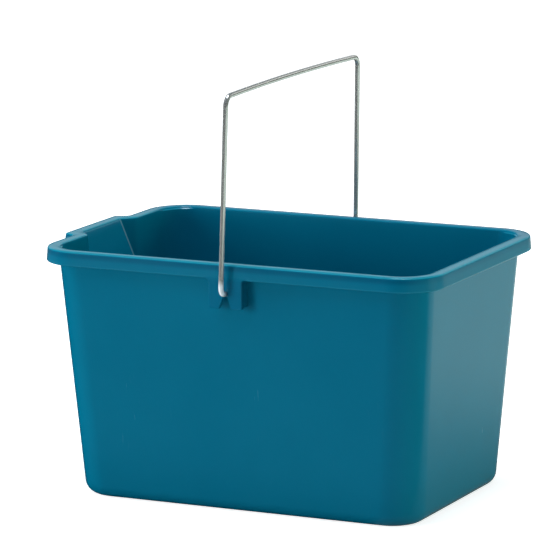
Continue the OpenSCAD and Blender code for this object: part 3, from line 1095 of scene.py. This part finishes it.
def floor_mirror_level(tree, place, distance):
    """How bright the floor mirrors: a sheen behind the bucket, and a wider one further out."""
    bearing = bearing_from(tree, place, SHEEN_FROM)
    sheen = fade_out(tree, bearing, *SHEEN_RIGHT)
    sheen = product(tree, sheen, fade_in(tree, bearing, *SHEEN_LEFT))
    near = product(tree, sheen, ramp(tree, distance, *NEAR_SPAN, *NEAR_LEVELS))
    far = ramp(tree, along_axis(tree, place, FAR_AXIS), *FAR_ACROSS, *FAR_LEVELS)
    far = product(tree, far, ramp(tree, distance, *FAR_END, 1.0, FAR_END_LEVEL))
    far = product(tree, far, ramp(tree, sheen, 0.0, 1.0, 1.0, FAR_SHEEN_LEVEL))
    return blend(tree, fade_in(tree, distance, *FAR_START), near, far)


def pale_floor():
    """A wide pale floor that keeps the bucket's shadow and is white further out."""
    corners = [(-1, -1), (1, -1), (1, 1), (-1, 1)]
    verts = [(FLOOR_HALF * x, FLOOR_HALF * y, FLOOR_Z) for x, y in corners]
    floor = mesh_piece("floor", verts, [(0, 1, 2, 3)])
    material, tree = new_material("pale_sweep")
    tree.nodes.clear()
    place = add_node(tree, "ShaderNodeNewGeometry").outputs["Position"]
    distance = level_distance(tree, place)
    mirrored = add_node(tree, "ShaderNodeEmission")
    mirrored.inputs["Color"].default_value = FLOOR_MIRRORED
    tree.links.new(floor_mirror_level(tree, place, distance), mirrored.inputs["Strength"])
    glow = add_node(tree, "ShaderNodeEmission")
    tree.links.new(ramp(tree, distance, *GLOW_SPAN, FLOOR_GLOW, 1.0), glow.inputs["Strength"])
    shade = add_node(tree, "ShaderNodeBsdfDiffuse")
    shade.inputs["Color"].default_value = FLOOR_SHADE
    seen = add_node(tree, "ShaderNodeAddShader")
    tree.links.new(glow.outputs["Emission"], seen.inputs[0])
    tree.links.new(shade.outputs["BSDF"], seen.inputs[1])
    bounce = add_node(tree, "ShaderNodeBsdfDiffuse")
    bounce.inputs["Color"].default_value = FLOOR_BOUNCE
    out = add_node(tree, "ShaderNodeOutputMaterial")
    tree.links.new(by_ray(tree, bounce, mirrored, seen), out.inputs["Surface"])
    floor.data.materials.append(material)


def studio_world():
    """White to the eye, a dim cool dome as light, and a pale band behind in what mirrors it."""
    world = bpy.data.worlds.new("studio")
    bpy.context.scene.world = world
    world.use_nodes = True
    tree = world.node_tree
    tree.nodes.clear()
    direction = parts_of(tree, add_node(tree, "ShaderNodeTexCoord").outputs["Generated"])
    behind = ramp(tree, direction["Y"], *BAND_BEHIND, 0.0, BAND_LEVEL)
    low = ramp(tree, direction["Z"], *BAND_TOP, 1.0, ABOVE_BAND)
    left = ramp(tree, direction["Z"], *LEFT_FOOT, *LEFT_LEVELS)
    right = ramp(tree, direction["Z"], *RIGHT_FOOT, *RIGHT_LEVELS)
    side = blend(tree, fade_in(tree, direction["X"], *LEFT_TO_RIGHT), left, right)
    mirrored = set_inputs(add_node(tree, "ShaderNodeBackground"), Color=WHITE)
    tree.links.new(product(tree, product(tree, behind, low), side), mirrored.inputs["Strength"])
    dome = set_inputs(add_node(tree, "ShaderNodeBackground"), Color=DOME_COLOUR, Strength=DOME_LEVEL)
    seen = set_inputs(add_node(tree, "ShaderNodeBackground"), Color=WHITE)
    out = add_node(tree, "ShaderNodeOutputWorld")
    tree.links.new(by_ray(tree, dome, mirrored, seen), out.inputs["Surface"])


def soft_lamp(name, towards, distance, size, level, colour=(1, 1, 1), mirrored=False):
    """A square lamp that lights a surface facing it to the given level."""
    lamp = bpy.data.lights.new(name, "AREA")
    lamp.size = size
    lamp.energy = level * pi * pi * distance * distance
    lamp.color = colour
    holder = new_object(name, lamp)
    aim = Vector(towards).normalized()
    holder.location = aim * distance + LAMP_TARGET
    holder.rotation_euler = aim.to_track_quat("Z", "Y").to_euler()
    holder.visible_camera = False
    holder.visible_glossy = mirrored


def photo_camera():
    data = bpy.data.cameras.new("photo_camera")
    data.sensor_width = CAMERA_SENSOR
    data.sensor_fit = "HORIZONTAL"
    data.lens = CAMERA_LENS
    data.clip_end = CAMERA_CLIP
    camera = new_object("photo_camera", data)
    level = cos(CAMERA_RISE)
    back = Vector((sin(CAMERA_AZIMUTH) * level, -cos(CAMERA_AZIMUTH) * level, sin(CAMERA_RISE)))
    right = Vector((cos(CAMERA_AZIMUTH), sin(CAMERA_AZIMUTH), 0))
    up = back.cross(right)
    rolled_right = right * cos(CAMERA_ROLL) + up * sin(CAMERA_ROLL)
    rolled_up = up * cos(CAMERA_ROLL) - right * sin(CAMERA_ROLL)
    turn = Matrix((rolled_right, rolled_up, back)).transposed()
    camera.matrix_world = Matrix.Translation(CAMERA_TARGET + back * CAMERA_DISTANCE) @ turn.to_4x4()
    bpy.context.scene.camera = camera


mottle = mottle_group()
scratches = scratch_group()
edge = edge_group()

moulding = bucket_moulding()
moulding.data.materials.clear()
moulding.data.materials.append(teal_plastic(mottle, scratches, edge))
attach(moulding, "bucket")
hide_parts("bucket_body")

wire = bail_wire()
wire.data.materials.append(steel_wire(mottle, scratches, edge))
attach(wire, "bail")
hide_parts("wire_bail")

pale_floor()
studio_world()
soft_lamp(
    "overhead_lamp", towards=(0, 0, 1), distance=2.2, size=0.9, level=0.96,
    colour=(0.75, 0.88, 1), mirrored=True,
)
soft_lamp(
    "top_lamp", towards=(-0.35, -0.6, 0.8), distance=2.6, size=1.2, level=0.22,
    colour=(0.65, 0.88, 1),
)
soft_lamp("key_lamp", towards=(-0.5, -0.85, 0.14), distance=2.6, size=0.8, level=0.36)
soft_lamp("left_lamp", towards=(-1, -0.2, 0.02), distance=2.6, size=1.1, level=0.76)
soft_lamp(
    "right_lamp", towards=(1, 0.22, 0), distance=2.5, size=1.0, level=0.9,
    colour=(0.85, 1, 0.78),
)
photo_camera()
bpy.context.scene.view_settings.view_transform = "Standard"
